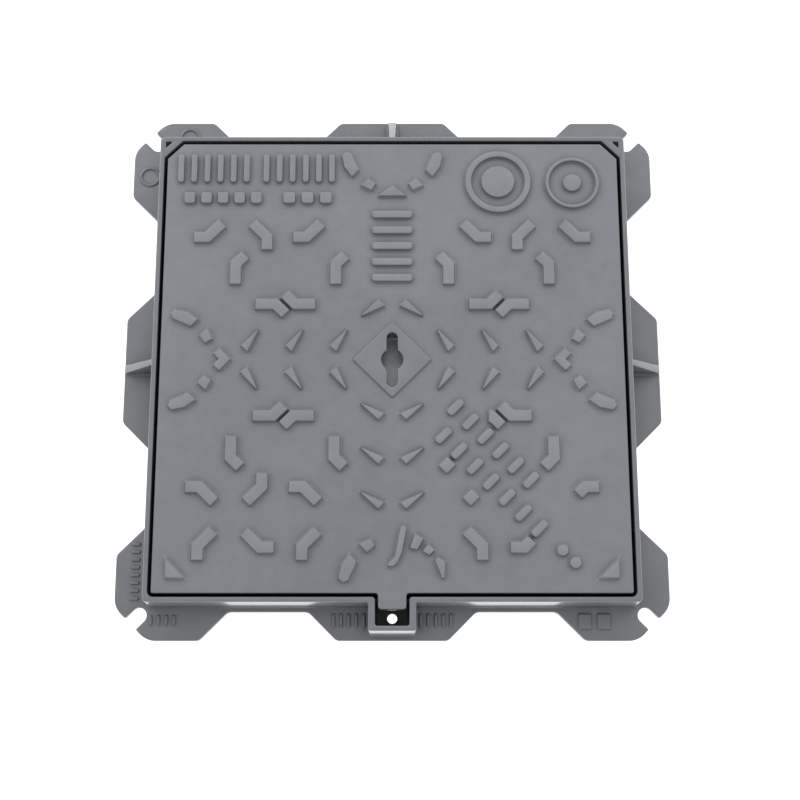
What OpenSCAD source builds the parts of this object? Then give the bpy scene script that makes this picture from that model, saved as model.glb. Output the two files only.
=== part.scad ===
// Square access cover: a cast lid that drops flush into a cast frame, with a rubber seal
// under its skirt and a closed cup under its key slot. The origin is the middle of the
// frame's base, +Z up. The lid's tab and the frame's pry pocket are on the -Y side.

/* [Cover] */
// Lid width across its flat sides
lid_w = 423; // [350:1:520]
// Height of the frame, from its base to the road surface
frame_h = 44; // [36:1:60]
// Open joint between the lid and the frame
lid_gap = 3; // [2:0.5:5]
// Length cut off each side of the lid at its two rear corners
lid_chamfer = 15; // [8:1:30]
// Rounding of the lid's two front corners
lid_corner_r = 2; // [1:0.5:8]

/* [Lid] */
// Thickness of the lid's plate
lid_t = 9; // [6:0.5:14]
// Thickness of the skirt that stands on the seal
skirt_t = 5.5; // [4:0.5:10]
// Thickness of the ribs under the plate
lid_rib_t = 7; // [5:0.5:12]
// Distance of each rib from the middle of the lid
lid_rib_at = 68; // [50:1:90]
// Free height between the ribs and the lip of the seal channel
lid_rib_clear = 2; // [1:0.5:4]
// Width of the tab on the front edge
tab_w = 25; // [18:1:40]
// How far the tab stands out from the lid
tab_out = 14; // [8:0.5:18]
// Thickness of the tab
tab_t = 12; // [8:0.5:16]
// Rounding of the tab's outer corners
tab_r = 3; // [1:0.5:6]

/* [Treads] */
// Height of the raised treads
tread_h = 3; // [2:0.5:6]
// Width of the bent tread bars
bar_w = 11.5; // [8:0.5:14]
// Length of the short arms of the bent bars
bar_short = 13; // [9:0.5:16]
// Length of the long arms of the bent bars
bar_long = 20; // [14:0.5:24]
// Slit between two bars that lie back to back
bar_slit = 1.4; // [1:0.1:3]
// Plain band between the treads and the edge of the lid
tread_margin = 11.5; // [8:0.5:20]

/* [Key slot] */
// Width of the key slot
key_w = 10; // [8:0.5:14]
// Length of the key slot
key_len = 51; // [40:1:60]
// Diameter of the round hole in the middle of the slot
key_d = 20; // [16:0.5:26]
// Half diagonal of the raised rhombus round the slot
pad_half = 36; // [32:1:44]
// Height of the rhombus above the plate
pad_h = 1.5; // [1:0.5:2]
// Inside diameter of the cup, room for the key to turn
cup_d = 58; // [44:1:70]
// Wall of the cup
cup_t = 2; // [1:0.5:3]
// Depth of the cup under the plate
cup_depth = 20; // [14:1:24]
// Wall of the boss that holds the cup
boss_t = 6; // [4:0.5:10]
// Depth of that boss
boss_depth = 8; // [5:1:12]
// Play between the cup and its boss
cup_play = 0.1; // [0.05:0.05:0.3]

/* [Frame] */
// Width of the level land on top of the frame wall
rim_w = 4.5; // [3.5:0.5:8]
// How far the wall's outside leans out from the rim to the base
wall_lean = 1.2; // [0.4:0.2:6]
// Rounding of the wall's upright corners
wall_r = 4; // [2:0.5:12]
// How far the base plate stands out from the wall's foot all round
ledge = 4.3; // [3:0.1:9]
// Thickness of the base plate
plate_t = 7; // [5:0.5:10]
// How far the lobes of the base reach past that ledge
lobe_out = 25.5; // [20:0.5:35]
// Length of a middle lobe along its outer edge
mid_lobe = 100; // [70:1:120]
// Length of a corner lobe, from the square corner along each side
corner_lobe = 77; // [65:1:90]
// Length cut off each side of a corner lobe's outer corner
lobe_cut = 30; // [26:1:34]
// Rounding of that cut
lobe_cut_r = 20; // [12:1:24]
// Rounding of the other corners of the base
lobe_r = 8; // [4:0.5:10]
// Width of the anchor slots
slot_w = 14; // [10:0.5:16]
// Metal left between an anchor slot and the wall
slot_web = 4.9; // [3:0.1:8]
// Thickness of the gussets on the middle lobes
gusset_t = 7; // [5:0.5:12]
// Distance of a gusset's top below the rim
gusset_drop = 7; // [4:0.5:12]
// Height of a gusset's outer end above the plate
gusset_end = 3; // [1:0.5:6]

/* [Seal channel] */
// Free width between the skirt and the lip of the channel
lip_clear = 2.5; // [1.5:0.5:5]
// Thickness of the lip
lip_t = 3.5; // [3:0.5:8]
// Height of the lip above the plate
lip_h = 9; // [7:0.5:12]
// Thickness of the seal
seal_t = 5; // [3:0.5:8]
// Play between the seal and the sides of its channel
seal_play = 0.5; // [0.3:0.1:1]
// Rounding of the inner corners of the channel and the skirt
inner_r = 3; // [1:0.5:6]

/* [Pry pocket] */
// Open joint beside the tab and below it
tab_gap = 2.5; // [1.5:0.5:4]
// Length of the pocket beyond the lid's recess
pocket_len = 25; // [20:0.5:26]
// Thickness of the wall between the seal channel and the pocket
dam_t = 5; // [4:0.5:6]
// Wall on each side of the pocket
pocket_wall = 6; // [4:0.5:10]
// Diameter of the drain hole in the pocket's floor
drain_d = 9; // [8:0.5:14]
// Distance from the drain hole's middle to the far end of the pocket
drain_in = 9.2; // [7.5:0.1:12]
// Leg of the triangular recesses at the rear corners of the rim
recess_leg = 7; // [4:0.5:8]
// Depth of those recesses
recess_depth = 4; // [2:0.5:20]
// Metal between a recess and the two outer faces of the rim
recess_wall = 5; // [4:0.5:7]

/* [Hidden] */
$fn = 64;
eps = 0.01;          // overlap of pieces that are joined
over = 1;            // how far a cut runs past a face

recess_half = lid_w / 2 + lid_gap;
rim_half = recess_half + rim_w;
wall_half = rim_half + wall_lean;            // foot of the wall
plate_half = wall_half + ledge;              // edge of the plate between the lobes
base_half = plate_half + lobe_out;
lip_inset = skirt_t + lip_clear;
opening_inset = lip_inset + lip_t;
seat_z = plate_t + seal_t;                   // foot of the lid's skirt
plate_z = frame_h - lid_t;                   // underside of the lid's plate
rib_z = plate_t + lip_h + lid_rib_clear;     // foot of the lid's ribs
pocket_half = tab_w / 2 + tab_gap;
pocket_y = recess_half + pocket_len;         // far end of the pocket
dam_z = frame_h - tab_t - tab_gap;           // top of the wall below the tab
drain_y = pocket_y - drain_in;
slot_at = (wall_half - wall_r) * sqrt(2) + wall_r + slot_web + slot_w / 2;
mark_h = 1.2;                                // raised marks on the lobes
field = (lid_w / 2 - tread_margin) / 200;    // one unit of the tread layout

// ---- outlines -------------------------------------------------------------------------

function arc(cx, cy, r, from, to, n = 6) =
    [for (i = [0:n]) let (a = from + (to - from) * i / n) [cx + r * cos(a), cy + r * sin(a)]];

// The lid's outline grown by e, with cut rear corners and rounded front corners.
module lid_outline(e) {
    half = lid_w / 2 + e;
    leg = 2 * half - (lid_w - lid_chamfer + e * sqrt(2));
    r = max(lid_corner_r + e, e < 0 ? inner_r : 0.5);
    polygon(concat(
        [[half, half - leg], [half - leg, half], [leg - half, half], [-half, half - leg]],
        arc(r - half, r - half, r, 180, 270),
        arc(half - r, r - half, r, 270, 360)));
}

module ring(outer, inner, h) {
    linear_extrude(h) difference() {
        lid_outline(outer);
        lid_outline(inner);
    }
}

module quarter_turns() {
    for (a = [0, 90, 180, 270]) rotate(a) children();
}

module both_sides() {
    children();
    mirror([1, 0, 0]) children();
}

module front_and_rear() {
    children();
    mirror([0, 1, 0]) children();
}

module round_rect(w, l, r) {
    polygon(concat(
        arc(w / 2 - r, l / 2 - r, r, 0, 90, 3),
        arc(r - w / 2, l / 2 - r, r, 90, 180, 3),
        arc(r - w / 2, r - l / 2, r, 180, 270, 3),
        arc(w / 2 - r, r - l / 2, r, 270, 360, 3)));
}

// ---- frame ----------------------------------------------------------------------------

// The lobes slope back to the plate's edge at 45 degrees.
module lobe_shapes() {
    from = base_half - corner_lobe;
    square(2 * plate_half, center = true);
    quarter_turns() {
        polygon([[plate_half - over, from - lobe_out - over], [base_half, from],
                 [base_half, base_half], [from, base_half],
                 [from - lobe_out - over, plate_half - over]]);
        polygon([[plate_half - over, mid_lobe / 2 + lobe_out + over], [base_half, mid_lobe / 2],
                 [base_half, -mid_lobe / 2], [plate_half - over, -mid_lobe / 2 - lobe_out - over]]);
    }
}

module cut_square() {
    offset(r = lobe_cut_r) offset(delta = -lobe_cut_r) difference() {
        square(2 * base_half, center = true);
        quarter_turns() translate([base_half, base_half]) rotate(45)
            square(lobe_cut * sqrt(2), center = true);
    }
}

module base_outline() {
    offset(r = -lobe_r) offset(delta = lobe_r)
        offset(r = lobe_r) offset(delta = -lobe_r)
            intersection() {
                cut_square();
                lobe_shapes();
            }
}

// A straight rounded block with its four sides planed to the wall's lean.
module leaning_wall() {
    difference() {
        linear_extrude(frame_h) round_rect(2 * wall_half, 2 * wall_half, wall_r);
        quarter_turns() translate([wall_half, 0, 0]) rotate([0, -atan(wall_lean / frame_h), 0])
            translate([0, -base_half, -frame_h]) cube([base_half, 2 * base_half, 3 * frame_h]);
    }
}

module pocket_block() {
    front = pocket_y + rim_w + wall_lean;
    half = pocket_half + pocket_wall;
    difference() {
        translate([-half, -front, 0]) cube([2 * half, front - recess_half, frame_h]);
        translate([0, -front, 0]) rotate([-atan(wall_lean / frame_h), 0, 0])
            translate([-base_half, -base_half, -frame_h]) cube([2 * base_half, base_half, 3 * frame_h]);
    }
}

module gusset() {
    rotate([90, 0, 0]) translate([0, 0, -gusset_t / 2]) linear_extrude(gusset_t)
        polygon([[recess_half + 1, plate_t - eps], [base_half, plate_t - eps],
                 [base_half, plate_t + gusset_end],
                 [rim_half + wall_lean * gusset_drop / frame_h, frame_h - gusset_drop],
                 [recess_half + 1, frame_h - gusset_drop]]);
}

module anchor_slots() {
    quarter_turns() rotate(45) translate([slot_at, 0, -over]) {
        cylinder(d = slot_w, h = plate_t + 2 * over);
        translate([0, -slot_w / 2, 0]) cube([base_half, slot_w, plate_t + 2 * over]);
    }
}

// A row of plain raised bars from a given place on, each turned across the row.
module bar_row(x, y, count, pitch, w, l) {
    for (i = [0:count - 1]) translate([x + pitch * i, y, 0])
        linear_extrude(mark_h) round_rect(w, l, w / 2 - 0.1);
}

module plain_ring(x, y, d, t) {
    translate([x, y, 0]) difference() {
        cylinder(d = d, h = mark_h);
        translate([0, 0, -over]) cylinder(d = d - 2 * t, h = mark_h + 2 * over);
    }
}

// Plain raised bars and rings in the places where a foundry casts its marks.
module lobe_marks() {
    near = plate_half + 7.5;
    mid = plate_half + 9.5;
    side = pocket_half + pocket_wall;
    translate([0, 0, plate_t - eps]) {
        bar_row(side + 4.5, -near, 5, 6.8, 3, 12);
        bar_row(-side - 4.5, -near, 5, -6.8, 3, 12);
        bar_row(plate_half - 52, -near - 1, 2, 17, 12, 14);
        bar_row(8 - plate_half, -near, 4, 7, 3, 9);
        rotate(-90) bar_row(plate_half - 61, -near, 8, 7, 3, 8);
        bar_row(-48, near, 4, 8, 3, 9);
        bar_row(9, near, 7, 8, 3, 9);
        plain_ring(-mid, plate_half - 31, 20, 2.5);
        plain_ring(28 - plate_half, mid, 20, 2.5);
    }
}

module rear_recesses() {
    corner = rim_half - recess_wall;
    both_sides() translate([corner, corner, frame_h - recess_depth])
        linear_extrude(recess_depth + over)
            polygon([[0, 0], [-recess_leg, 0], [0, -recess_leg]]);
}

module pry_pocket() {
    translate([-pocket_half, -pocket_y, plate_t])
        cube([2 * pocket_half, pocket_len - dam_t, frame_h]);
    translate([-pocket_half, -pocket_y, dam_z])
        cube([2 * pocket_half, pocket_len + over, frame_h]);
    translate([0, -drain_y, -over]) cylinder(d = drain_d, h = plate_t + 2 * over);
}

module frame() {
    color("dimgray") difference() {
        union() {
            linear_extrude(plate_t) base_outline();
            leaning_wall();
            pocket_block();
            for (a = [0, 90, 180]) rotate(a) gusset();
            lobe_marks();
        }
        translate([0, 0, plate_t]) ring(lid_gap, -lip_inset, frame_h);
        translate([0, 0, plate_t + lip_h]) linear_extrude(frame_h) lid_outline(-lip_inset + over);
        translate([0, 0, -over]) linear_extrude(frame_h) lid_outline(-opening_inset);
        pry_pocket();
        anchor_slots();
        rear_recesses();
    }
}

// ---- seal -----------------------------------------------------------------------------

module seal() {
    color("black") translate([0, 0, plate_t])
        ring(lid_gap - seal_play, -lip_inset + seal_play, seal_t);
}

// ---- treads ---------------------------------------------------------------------------

// A bar bent by 45 degrees at the origin: one arm points to -X, the other up and to +X.
module elbow(arm, bent_arm) {
    h = bar_w / 2;
    m = h * tan(22.5);
    c = bent_arm * cos(45);
    d = h * cos(45);
    polygon([[-arm, -h], [m, -h], [c + d, c - d], [c - d, c + d], [-m, h], [-arm, h]]);
}

// One tread of the layout: a bend point, a turn, and 1 where it is a mirror image.
module elbow_at(x, y, turn, flip, arm, bent_arm) {
    translate([x * field, y * field]) rotate(turn) mirror([flip, 0, 0]) elbow(arm, bent_arm);
}

// Two bars with their bent arms side by side, the second one with its own straight arm.
module back_to_back(x, y, second_arm = bar_short + 6) {
    shift = bar_w / 2 * (1 + tan(22.5)) + bar_slit / sqrt(2);
    translate([x * field, y * field]) {
        translate([-shift, 0]) mirror([0, 1, 0]) elbow(bar_short + 6, bar_long - 6);
        rotate(180) translate([-shift, 0]) mirror([0, 1, 0]) elbow(second_arm, bar_long - 6);
    }
}

module upper_elbows() {
    elbow_at(-171.5, 117.5, 0, 0, bar_short, bar_long);
    elbow_at(-116, 117.5, 90, 0, bar_short, bar_long);
    elbow_at(-79.5, 117.5, 0, 0, bar_short, bar_long);
    for (x = [-144.5, -52]) elbow_at(x, 91, 270, 1, bar_long, bar_short);
    back_to_back(-98, 52.5);
}

module lower_elbows() {
    for (x = [-171.5, -79.5]) elbow_at(x, -170.5, 270, 1, bar_short, bar_long);
    elbow_at(-116.5, -171.5, 0, 1, bar_short, bar_long);
}

// The right front quarter, with its bars cut short where the slanted rows of pads run.
module front_right_elbows() {
    elbow_at(171.5, -117.5, 180, 0, bar_short, bar_long / 2);
    elbow_at(116.5, -171.5, 0, 0, bar_short, bar_long / 2);
    elbow_at(144.5, -91, 90, 1, bar_long, bar_short);
    elbow_at(79.5, -170.5, 90, 0, bar_short, bar_long);
    mirror([0, 1, 0]) mirror([1, 0, 0]) back_to_back(-98, 52.5, bar_w / 4);
    for (p = [[49, -98], [70, -127]]) translate(p * field) rotate(45)
        square([bar_w * 1.1, bar_w], center = true);
}

// A slim wedge: its tip, then its blunt end.
module dart(tip_x, tip_y) {
    scale(field) translate([tip_x, tip_y]) polygon([[0, 0], [-10.5, -24], [-17.5, -17.5]]);
}

module side_darts() {
    for (i = [0:2]) dart(-40 - 40.5 * i, 30);
}

// Half of a broken chevron that points to the middle of the lid: a bar and a block.
module half_chevron() {
    scale(field) {
        polygon([[-201, 38], [-184, 30.5], [-176.5, 38], [-187, 45.5], [-199, 48], [-203, 43.5]]);
        polygon([[-177, 22.5], [-170.5, 14.5], [-163, 19], [-168.5, 30]]);
    }
}

module chevron_tip() {
    scale(field) polygon([[-163.5, 5.5], [-157, 11.5], [-146, 0], [-157, -11.5],
                          [-163.5, -5.5], [-158.5, 0]]);
}

module corner_wedge() {
    scale(field) polygon([[-199.5, -199], [-181, -199], [-199.5, -180]]);
}

// The odd treads at the front, to the right of the middle.
module front_odd_treads() {
    scale(field) {
        polygon([[7, -153], [10.5, -151.5], [13, -155], [9, -176], [5.5, -184],
                 [1.5, -188.5], [-4.5, -188.5], [-4, -186], [2, -179.5]]);
        polygon([[20, -159], [28, -164], [22.5, -174], [15, -172.5]]);
        polygon([[32, -168], [37.5, -174.5], [32.5, -179], [26, -174.5]]);
        polygon([[37, -182], [40, -180], [47, -184], [46, -199], [43.5, -199]]);
    }
}

module ringed_disc(x, y, outer_d, inner_d, disc_d) {
    translate([x * field, y * field]) {
        difference() {
            circle(d = outer_d);
            circle(d = inner_d);
        }
        circle(d = disc_d);
    }
}

// Plain ribs, blocks and rings where lettering and marks would stand.
module plain_marks() {
    scale(field) {
        for (x = [-198, -118], i = [0:5]) translate([x + 12.3 * i, 186]) round_rect(6.5, 29, 3);
        for (i = [0:4]) translate([-189 + 15.5 * i, 156.5]) round_rect(11, 12, 3);
        for (i = [0:2]) translate([-96 + 17 * i, 156.5]) round_rect(12, 12, 3);
        for (i = [0:4]) translate([0, 78 + 15.5 * i]) round_rect(38, 8, 3);
        for (i = [0:5]) translate([57 + 13.3 * i, -45 - 13.3 * i]) rotate(45) round_rect(18, 8, 3);
        for (i = [0:6]) translate([46 + 14 * i, -71 - 14 * i]) rotate(45) round_rect(18, 8, 3);
        for (i = [0:1]) translate([150 + 11 * i, -174 - 11 * i]) circle(d = 11);
        polygon([[-14.5, 158], [14.5, 158], [0, 169.5]]);
    }
    ringed_disc(99, 172.5, 62, 49, 32);
    ringed_disc(168.5, 171.5, 51, 43, 18);
}

module tread_pattern() {
    both_sides() upper_elbows();
    mirror([0, 1, 0]) upper_elbows();
    lower_elbows();
    front_right_elbows();
    both_sides() front_and_rear() side_darts();
    both_sides() mirror([1, -1, 0]) side_darts();
    both_sides() mirror([0, 1, 0]) mirror([1, -1, 0]) dart(-40, 30);
    both_sides() {
        front_and_rear() half_chevron();
        chevron_tip();
        corner_wedge();
        mirror([0, 1, 0]) mirror([1, -1, 0]) half_chevron();
    }
    mirror([1, 0, 0]) mirror([1, -1, 0]) half_chevron();
    front_odd_treads();
    plain_marks();
}

// ---- lid ------------------------------------------------------------------------------

module lid_shell() {
    translate([0, 0, seat_z]) linear_extrude(plate_z - seat_z + eps) difference() {
        lid_outline(0);
        lid_outline(-skirt_t);
    }
    translate([0, 0, plate_z]) linear_extrude(lid_t) lid_outline(0);
}

module lid_ribs() {
    half = lid_w / 2 - skirt_t + eps;
    for (turn = [0, 90], s = [-1, 1]) rotate(turn)
        translate([s * lid_rib_at - lid_rib_t / 2, -half, rib_z])
            cube([lid_rib_t, 2 * half, plate_z - rib_z + eps]);
}

module tab() {
    reach = lid_w / 2 + tab_out;
    translate([0, 0, frame_h - tab_t]) linear_extrude(tab_t) polygon(concat(
        [[tab_w / 2, -lid_w / 2 + skirt_t], [-tab_w / 2, -lid_w / 2 + skirt_t]],
        arc(tab_r - tab_w / 2, tab_r - reach, tab_r, 180, 270),
        arc(tab_w / 2 - tab_r, tab_r - reach, tab_r, 270, 360)));
}

module key_slot() {
    side = key_len - key_w;
    translate([0, 0, plate_z - over]) {
        cylinder(d = key_d, h = 2 * lid_t);
        translate([-key_w / 2, -side / 2, 0]) cube([key_w, side, 2 * lid_t]);
        for (s = [-1, 1]) translate([0, s * side / 2, 0]) cylinder(d = key_w, h = 2 * lid_t);
    }
}

module cup_boss() {
    bore = cup_d + 2 * cup_t + 2 * cup_play;
    translate([0, 0, plate_z - boss_depth]) difference() {
        cylinder(d = bore + 2 * boss_t, h = boss_depth + eps);
        translate([0, 0, -over]) cylinder(d = bore, h = boss_depth + over);
    }
}

module lid() {
    color("gray") difference() {
        union() {
            lid_shell();
            lid_ribs();
            tab();
            cup_boss();
            translate([0, 0, frame_h - eps]) linear_extrude(tread_h + eps) tread_pattern();
            translate([0, 0, frame_h - eps]) linear_extrude(pad_h + eps) rotate(45)
                square(pad_half * sqrt(2), center = true);
        }
        key_slot();
    }
}

// ---- key cup --------------------------------------------------------------------------

module key_cup() {
    color("silver") translate([0, 0, plate_z - cup_depth]) difference() {
        cylinder(d = cup_d + 2 * cup_t, h = cup_depth);
        translate([0, 0, cup_t]) cylinder(d = cup_d, h = cup_depth);
    }
}

frame();
seal();
lid();
key_cup();
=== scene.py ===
"""A square cast-iron manhole cover, lid and frame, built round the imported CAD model.

Every shape is worked out in millimetres as whole numpy arrays and put into its mesh in metres.
A loop is an (n, 2) array of plan points, counter-clockwise seen from above. A surface is a
stack of loops with the same number of points, joined by strips, and closed by flat caps.
"""
import math

import bmesh
import bpy
import numpy as np
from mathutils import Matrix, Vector
from mathutils.geometry import delaunay_2d_cdt


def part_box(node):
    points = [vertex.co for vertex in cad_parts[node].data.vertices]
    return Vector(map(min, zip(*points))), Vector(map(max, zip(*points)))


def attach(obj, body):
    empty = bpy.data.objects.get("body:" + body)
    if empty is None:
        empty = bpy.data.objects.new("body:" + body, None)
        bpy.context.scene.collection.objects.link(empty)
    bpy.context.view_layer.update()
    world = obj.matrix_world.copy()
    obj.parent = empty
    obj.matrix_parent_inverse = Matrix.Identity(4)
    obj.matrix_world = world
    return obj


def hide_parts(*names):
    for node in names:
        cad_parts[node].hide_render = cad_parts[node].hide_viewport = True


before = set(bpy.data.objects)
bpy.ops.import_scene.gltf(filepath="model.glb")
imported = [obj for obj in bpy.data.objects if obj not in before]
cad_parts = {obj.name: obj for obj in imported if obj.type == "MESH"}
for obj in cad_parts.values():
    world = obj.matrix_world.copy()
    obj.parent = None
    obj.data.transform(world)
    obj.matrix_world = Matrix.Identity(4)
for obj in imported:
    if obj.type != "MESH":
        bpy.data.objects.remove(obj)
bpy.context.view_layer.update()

# ---- sizes, in millimetres ------------------------------------------------------------

MM = 0.001
LID_LOW, LID_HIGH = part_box("lid")
FRAME_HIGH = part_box("frame")[1]
SEAL_LOW, SEAL_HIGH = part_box("seal")
CUP_LOW, CUP_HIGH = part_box("key_cup")

RIM_Z = FRAME_HIGH[2] / MM                 # top of the rim and of the lid's plate
SEAT_Z = SEAL_HIGH[2] / MM                 # foot of the skirt on the seal
FLANGE_Z = SEAL_LOW[2] / MM                # top of the flange
BASE = FRAME_HIGH[0] / MM                  # half the base, over its lobes
LID = LID_HIGH[0] / MM                     # half the lid

GAP = 3.0                                  # open joint round the lid
RIM_W = 4.5                                # width of the rim's top
LEAN = 1.2                                 # draft of the wall over its height
LEDGE = 4.3                                # flange between the wall's foot and its edge
RECESS = LID + GAP                         # half the hollow in the frame
RIM = RECESS + RIM_W                       # half the rim's top
FOOT = RIM + LEAN                          # half the wall's foot
EDGE = FOOT + LEDGE                        # half the flange between its lobes
WALL_R = 4.0                               # radius of the wall's corners
WALL_FILLET = 2.6                          # fillet along the wall's foot

POCKET_X = 15.0                            # half the pry pocket's width
POCKET_OUT = 25.0                          # how far it stands out of the hollow
POCKET_Y = RECESS + POCKET_OUT             # its front end
POCKET_WALL_X = POCKET_X + 6.0             # half its width over its walls
DRAIN_R = 4.5
DRAIN_Y = -(POCKET_Y - 9.2)                # middle of the drain hole

LIP_OUT, LIP_IN = -8.0, -11.5              # the seal channel's lip, measured from the lid's edge
LIP_Z = 16.0                               # its top
SEAL_OUT, SEAL_IN = 2.5, -7.5              # the seal, measured from the lid's edge

MID_LOBE = 50.0                            # half a middle lobe's outer edge
CORNER_LOBE = 77.0                         # length of a corner lobe's outer edge
CORNER_CUT = 30.0                          # length cut off its corner
ANCHOR = 7.0                               # half the width of an anchor slot
ANCHOR_WEB = 4.9                           # iron between the slot and the wall's corner

CUT = 15.0                                 # length cut off the lid's rear corners
PLATE_Z = RIM_Z - 9.0                      # underside of the lid's plate
SKIRT_T = 5.5                              # thickness of the lid's skirt
TAB_X = 12.5                               # half the tab's width
TAB_OUT = -LID_LOW[1] / MM - LID           # how far it stands out
TAB_DEPTH = 12.0                           # its height
RIB_X, RIB_W = 68.0, 7.0                   # place and thickness of the ribs
RIB_Z = 18.0                               # their foot
TREAD_W = 11.5                             # width of a tread bar
RHOMBUS, RHOMBUS_UP = 36.0, 1.5            # half the pad round the key slot, and its height
KEY_R, KEY_HALF, KEY_W = 10.0, 20.5, 5.0   # radius of its middle, place and radius of its ends

CUP_R = CUP_HIGH[0] / MM
CUP_Z0, CUP_Z1 = CUP_LOW[2] / MM, CUP_HIGH[2] / MM
CUP_T = 2.0                                # thickness of the cup
BOSS_R = CUP_R + 0.1                       # bore of the boss that holds the cup
BOSS_T, BOSS_DEPTH = 6.0, 8.0              # its wall and its height under the plate


# ---- loops ----------------------------------------------------------------------------

def rounded(corners, steps=5):
    """A loop with rounded corners. Each corner is x, y and a radius r: its arc starts and ends
    r * tan(turn / 2) before and behind the corner, and has steps + 1 points."""
    c = np.array([k[:2] for k in corners], float)
    r = np.array([k[2] for k in corners], float)
    into = c - np.roll(c, 1, 0)
    out = np.roll(c, -1, 0) - c
    li, lo = np.hypot(*into.T), np.hypot(*out.T)
    into, out = into / np.maximum(li, 1e-9)[:, None], out / np.maximum(lo, 1e-9)[:, None]
    cross = into[:, 0] * out[:, 1] - into[:, 1] * out[:, 0]
    turn = np.arctan2(cross, (into * out).sum(1))
    turn = np.where((li < 1e-6) | (lo < 1e-6), 0.0, turn)
    reach = r * np.abs(np.tan(turn / 2))
    start = c - into * reach[:, None]
    side = np.stack([-into[:, 1], into[:, 0]], 1) * np.sign(turn)[:, None]
    a = np.linspace(0, 1, steps + 1)[None, :, None] * turn[:, None, None]
    along = into[:, None, :] * (r[:, None, None] * np.sin(np.abs(a)))
    across = side[:, None, :] * (r[:, None, None] * (1 - np.cos(a)))
    return (start[:, None, :] + along + across).reshape(-1, 2)


def softened(loop, r, steps=3):
    """The loop with every corner rounded to the radius r."""
    return rounded([(x, y, r) for x, y in loop], steps)


def grow(loop, by):
    """The loop moved outwards by a distance: each point goes along the sum of its two edges'
    normals, divided by one plus their dot product."""
    d = np.roll(loop, -1, 0) - loop
    n = np.stack([d[:, 1], -d[:, 0]], 1) / np.maximum(np.hypot(*d.T), 1e-9)[:, None]
    m = np.roll(n, 1, 0)
    return loop + by * (n + m) / np.maximum(1 + (n * m).sum(1), 0.3)[:, None]


def area(loop):
    """The signed area: half the sum of x * next y - y * next x."""
    x, y = loop.T
    return 0.5 * (x * np.roll(y, -1) - y * np.roll(x, -1)).sum()


def wound(loop):
    """The loop, counter-clockwise."""
    return loop if area(loop) > 0 else loop[::-1]


def arc(x, y, r, a, b, n):
    """n points of a circle of radius r about (x, y), at even steps from angle a to angle b."""
    q = np.linspace(a, b, n)
    return np.stack([x + r * np.cos(q), y + r * np.sin(q)], 1)


def circle(x, y, r, n=48):
    """A closed circle: an arc of a whole turn without its last point."""
    return arc(x, y, r, 0, 2 * math.pi, n + 1)[:-1]


def turned(loop, degrees):
    """The loop turned about the origin: (x cos a - y sin a, x sin a + y cos a)."""
    a = math.radians(degrees)
    return loop @ np.array([[math.cos(a), math.sin(a)], [-math.sin(a), math.cos(a)]])


def flipped(loop, x=1, y=1):
    """The loop mirrored in x or y by a factor of -1."""
    return wound(loop * [x, y])


def swapped(loop):
    """The loop with x and y exchanged."""
    return wound(loop[:, ::-1])


def inside(points, loop):
    """Whether each point lies in the loop: an odd number of edges cross the ray towards +X."""
    x, y = points[:, 0:1], points[:, 1:2]
    p, q = loop, np.roll(loop, -1, 0)
    cross = (p[:, 1] > y) != (q[:, 1] > y)
    dy = np.where(np.abs(q[:, 1] - p[:, 1]) < 1e-12, 1e-12, q[:, 1] - p[:, 1])
    return (cross & (x < p[:, 0] + (y - p[:, 1]) * (q[:, 0] - p[:, 0]) / dy)).sum(1) % 2 == 1


# ---- surfaces -------------------------------------------------------------------------

class Surface:
    """Points and faces that grow by strips between loops and by flat caps."""

    def __init__(self):
        self.points, self.faces, self.count = [], [], 0

    def put(self, xyz):
        """Adds points, and gives the number of the first."""
        self.points.append(np.asarray(xyz, float))
        first, self.count = self.count, self.count + len(xyz)
        return first

    def join(self, starts, n):
        """Joins rings of n points, each given by its first point, by strips of quads."""
        i = np.arange(n)
        j = (i + 1) % n
        for a, b in zip(starts, starts[1:]):
            self.faces.append(np.stack([a + i, a + j, b + j, b + i], 1))

    def strips(self, rings):
        """Joins each (loop, z) to the next by a strip of quads that faces outwards when the
        stack rises and the loops are counter-clockwise."""
        n = len(rings[0][0])
        self.join([self.put(np.column_stack([loop, np.full(n, z)])) for loop, z in rings], n)

    def cap(self, loop, z, up=True, holes=()):
        """A flat face at height z inside the loop and outside the holes, cut into triangles."""
        loops = [loop, *holes]
        edges, at = [], 0
        for one in loops:
            i = np.arange(len(one))
            edges += np.stack([at + i, at + (i + 1) % len(one)], 1).tolist()
            at += len(one)
        corners = [tuple(p) for p in np.concatenate(loops)]
        keep, _, tris, *_ = delaunay_2d_cdt(corners, edges, [], 1, 1e-5)
        keep = np.array([(p[0], p[1]) for p in keep])
        tris = np.array(tris)
        mid = keep[tris].mean(1)
        good = inside(mid, loop)
        for hole in holes:
            good &= ~inside(mid, hole)
        tris = tris[good]
        p, q, r = keep[tris[:, 0]], keep[tris[:, 1]], keep[tris[:, 2]]
        a, b = q - p, r - p
        sense = a[:, 0] * b[:, 1] - a[:, 1] * b[:, 0]
        tris = np.where(((sense > 0) == up)[:, None], tris, tris[:, ::-1])
        first = self.put(np.column_stack([keep, np.full(len(keep), z)]))
        self.faces.append(first + tris)

    def mesh(self, name, smooth):
        """The mesh in metres, welded, and shaded smooth up to an angle in degrees."""
        faces = [f for block in self.faces for f in block.tolist()]
        mesh = bpy.data.meshes.new(name)
        mesh.from_pydata((np.concatenate(self.points) * MM).tolist(), [], faces)
        bm = bmesh.new()
        bm.from_mesh(mesh)
        bmesh.ops.remove_doubles(bm, verts=bm.verts, dist=2e-6)
        bmesh.ops.dissolve_degenerate(bm, dist=1e-6, edges=bm.edges)
        bm.to_mesh(mesh)
        bm.free()
        mesh.shade_smooth()
        mesh.set_sharp_from_angle(angle=math.radians(smooth))
        return mesh


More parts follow.
